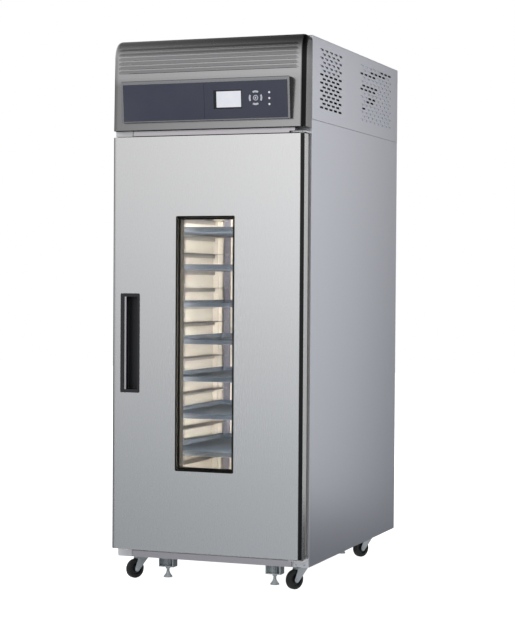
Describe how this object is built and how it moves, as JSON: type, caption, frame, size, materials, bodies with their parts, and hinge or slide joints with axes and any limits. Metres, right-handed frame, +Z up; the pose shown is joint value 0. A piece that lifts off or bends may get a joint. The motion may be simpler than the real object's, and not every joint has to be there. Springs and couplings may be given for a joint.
{
  "type": "proofing cabinet",
  "caption": "Tall insulated proofing cabinet with one hinged door, a narrow window, trays on racks, a control fascia and a vented machine compartment over the chamber.",
  "frame": {"origin": "on the floor, under the middle of the whole part's length and width", "axes": "+X to the right and -Y to the front for someone who faces the door, +Z up"},
  "size_m": [0.79, 1.2718, 2.105],
  "materials": {
    "stainless": "satin brushed stainless sheet",
    "fascia_steel": "darker satin stainless sheet",
    "zinc": "zinc plated",
    "liner": "pale coated sheet",
    "tray_aluminium": "dull anodised",
    "black_plastic": "black, fine grain",
    "slate_plastic": "dark slate film",
    "key_plastic": "pale grey",
    "wheel_rubber": "black",
    "seal_rubber": "grey",
    "glass": "clear",
    "diffuser": "warm white, diffusing",
    "fin_aluminium": "plain",
    "black_enamel": "black enamel"
  },
  "bodies": {
    "cabinet": {"air_duct_panel": "liner", "air_heater": "zinc", "back_panel": "stainless", "base_frame": "zinc", "blank_plate": "slate_plastic", "chamber_floor": "liner", "chamber_roof": "liner", "circulation_fan_motor": "black_enamel", "compressor": "black_enamel", "condenser": "fin_aluminium", "control_housing": "fascia_steel", "control_plate": "slate_plastic", "display": "black_plastic", "door_opening_frame": "seal_rubber", "fascia": "fascia_steel", "front_sill": "stainless", "hinge_bracket_bottom": "zinc", "hinge_bracket_top": "zinc", "humidifier_pan": "stainless", "interior_lamp": "diffuser", "rear_vent_panel": "stainless", "side_panel_left": "stainless", "side_panel_right": "stainless", "top_cover": "stainless", "tray_1": "tray_aluminium", "tray_2": "tray_aluminium", "tray_3": "tray_aluminium", "tray_4": "tray_aluminium", "tray_5": "tray_aluminium", "tray_6": "tray_aluminium", "tray_7": "tray_aluminium", "tray_rack_left": "zinc", "tray_rack_right": "zinc", "vent_panel_left": "stainless", "vent_panel_right": "stainless"},
    "door": {"door_shell": "stainless", "door_liner": "liner", "window_frame": "black_plastic", "glass_unit": "glass", "door_gasket": "seal_rubber", "handle_cup": "black_plastic"},
    "caster_front_left": {"caster_fork_front_left": "zinc"},
    "wheel_front_left": {"caster_wheel_front_left": "wheel_rubber"},
    "foot_front_left": {"levelling_foot_front_left": "zinc"},
    "caster_front_right": {"caster_fork_front_right": "zinc"},
    "wheel_front_right": {"caster_wheel_front_right": "wheel_rubber"},
    "foot_front_right": {"levelling_foot_front_right": "zinc"},
    "caster_rear_left": {"caster_fork_rear_left": "zinc"},
    "wheel_rear_left": {"caster_wheel_rear_left": "wheel_rubber"},
    "foot_rear_left": {"levelling_foot_rear_left": "zinc"},
    "caster_rear_right": {"caster_fork_rear_right": "zinc"},
    "wheel_rear_right": {"caster_wheel_rear_right": "wheel_rubber"},
    "foot_rear_right": {"levelling_foot_rear_right": "zinc"},
    "up_key": {"key_up": "key_plastic"},
    "down_key": {"key_down": "key_plastic"},
    "left_key": {"key_left": "key_plastic"},
    "right_key": {"key_right": "key_plastic"},
    "centre_key": {"key_centre": "key_plastic"},
    "chamber_fan": {"circulation_fan": "black_plastic"},
    "cooling_fan": {"condenser_fan": "black_plastic"}
  },
  "joints": [
    {"name": "door_hinge", "type": "hinge", "parent": "cabinet", "child": "door", "pos_m": [0.372, -0.56911, 0.93], "axis": [0, 0, 1], "range_deg": [0, 110]},
    {"name": "swivel_front_left", "type": "hinge", "parent": "cabinet", "child": "caster_front_left", "pos_m": [-0.335, -0.44411, 0.085], "axis": [0, 0, 1], "continuous": true},
    {"name": "wheel_spin_front_left", "type": "hinge", "parent": "caster_front_left", "child": "wheel_front_left", "pos_m": [-0.35, -0.47009, 0.0375], "axis": [0.866, -0.5, 0], "continuous": true},
    {"name": "foot_screw_front_left", "type": "slide", "parent": "cabinet", "child": "foot_front_left", "axis": [0, 0, -1], "range_m": [0, 0.025]},
    {"name": "swivel_front_right", "type": "hinge", "parent": "cabinet", "child": "caster_front_right", "pos_m": [0.335, -0.44411, 0.085], "axis": [0, 0, 1], "continuous": true},
    {"name": "wheel_spin_front_right", "type": "hinge", "parent": "caster_front_right", "child": "wheel_front_right", "pos_m": [0.32, -0.47009, 0.0375], "axis": [0.866, -0.5, 0], "continuous": true},
    {"name": "foot_screw_front_right", "type": "slide", "parent": "cabinet", "child": "foot_front_right", "axis": [0, 0, -1], "range_m": [0, 0.025]},
    {"name": "swivel_rear_left", "type": "hinge", "parent": "cabinet", "child": "caster_rear_left", "pos_m": [-0.335, 0.41089, 0.085], "axis": [0, 0, 1], "continuous": true},
    {"name": "wheel_spin_rear_left", "type": "hinge", "parent": "caster_rear_left", "child": "wheel_rear_left", "pos_m": [-0.35, 0.38491, 0.0375], "axis": [0.866, -0.5, 0], "continuous": true},
    {"name": "foot_screw_rear_left", "type": "slide", "parent": "cabinet", "child": "foot_rear_left", "axis": [0, 0, -1], "range_m": [0, 0.025]},
    {"name": "swivel_rear_right", "type": "hinge", "parent": "cabinet", "child": "caster_rear_right", "pos_m": [0.335, 0.41089, 0.085], "axis": [0, 0, 1], "continuous": true},
    {"name": "wheel_spin_rear_right", "type": "hinge", "parent": "caster_rear_right", "child": "wheel_rear_right", "pos_m": [0.32, 0.38491, 0.0375], "axis": [0.866, -0.5, 0], "continuous": true},
    {"name": "foot_screw_rear_right", "type": "slide", "parent": "cabinet", "child": "foot_rear_right", "axis": [0, 0, -1], "range_m": [0, 0.025]},
    {"name": "press_up", "type": "slide", "parent": "cabinet", "child": "up_key", "axis": [0, 0.9962, 0.0872], "range_m": [0, 0.001], "stiffness_N_per_m": 300, "springref_m": -0.002},
    {"name": "press_down", "type": "slide", "parent": "cabinet", "child": "down_key", "axis": [0, 0.9962, 0.0872], "range_m": [0, 0.001], "stiffness_N_per_m": 300, "springref_m": -0.002},
    {"name": "press_left", "type": "slide", "parent": "cabinet", "child": "left_key", "axis": [0, 0.9962, 0.0872], "range_m": [0, 0.001], "stiffness_N_per_m": 300, "springref_m": -0.002},
    {"name": "press_right", "type": "slide", "parent": "cabinet", "child": "right_key", "axis": [0, 0.9962, 0.0872], "range_m": [0, 0.001], "stiffness_N_per_m": 300, "springref_m": -0.002},
    {"name": "press_centre", "type": "slide", "parent": "cabinet", "child": "centre_key", "axis": [0, 0.9962, 0.0872], "range_m": [0, 0.001], "stiffness_N_per_m": 300, "springref_m": -0.002},
    {"name": "chamber_fan_spin", "type": "hinge", "parent": "cabinet", "child": "chamber_fan", "pos_m": [0, 0.38589, 1.5], "axis": [0, 1, 0], "continuous": true},
    {"name": "cooling_fan_spin", "type": "hinge", "parent": "cabinet", "child": "cooling_fan", "pos_m": [0.31, 0.31289, 1.9193], "axis": [1, 0, 0], "continuous": true}
  ]
}
